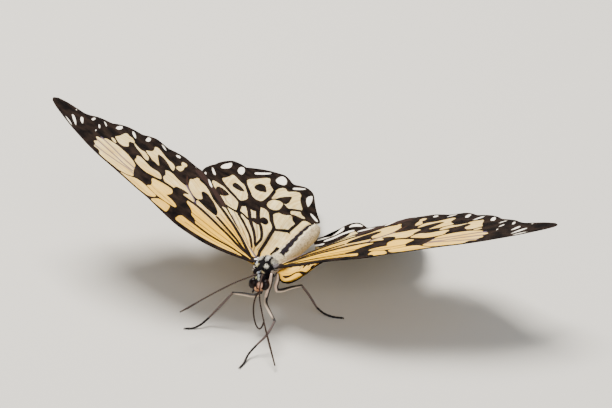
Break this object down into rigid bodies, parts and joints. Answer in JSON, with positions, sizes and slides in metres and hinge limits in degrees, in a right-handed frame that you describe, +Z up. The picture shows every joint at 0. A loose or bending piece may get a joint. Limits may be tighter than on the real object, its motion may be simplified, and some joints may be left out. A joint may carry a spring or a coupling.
{
  "type": "paper kite butterfly",
  "caption": "Large pale butterfly resting with its wings spread, with black veins, bars and border and rows of white spots along the wing edges.",
  "frame": {"origin": "on the floor, below the middle of the part's bounding box", "axes": "+X to the animal's left, across the spread wings; +Y to its tail; +Z up from the floor. The head looks towards -Y."},
  "size_m": [0.1278, 0.0746, 0.0409],
  "materials": {
    "wing": "matt scales, cream with black-brown veins, bars and border and white spots",
    "thorax": "short dark fur with white spots and stripes",
    "abdomen": "pale grey, with a dark line of blotches along the back",
    "head": "dark, with small white dots",
    "eye": "glossy dark brown",
    "palp": "short pale orange scales",
    "antenna": "matt black",
    "proboscis": "satin dark brown",
    "leg": "black above, pale cream below"
  },
  "bodies": {
    "root": {"forewing_right": "wing", "forewing_left": "wing", "hindwing_right": "wing", "hindwing_left": "wing", "thorax": "thorax", "abdomen": "abdomen", "head": "head", "eye_right": "eye", "eye_left": "eye", "palp_right": "palp", "palp_left": "palp", "proboscis": "proboscis", "antenna_right": "antenna", "antenna_left": "antenna", "foreleg_right": "leg", "foreleg_left": "leg", "femur_mid_right": "leg", "tibia_mid_right": "leg", "tarsus_mid_right": "leg", "femur_mid_left": "leg", "tibia_mid_left": "leg", "tarsus_mid_left": "leg", "femur_hind_left": "leg", "tibia_hind_left": "leg", "tarsus_hind_left": "leg", "femur_hind_right": "leg", "tibia_hind_right": "leg", "tarsus_hind_right": "leg"}
  },
  "joints": []
}
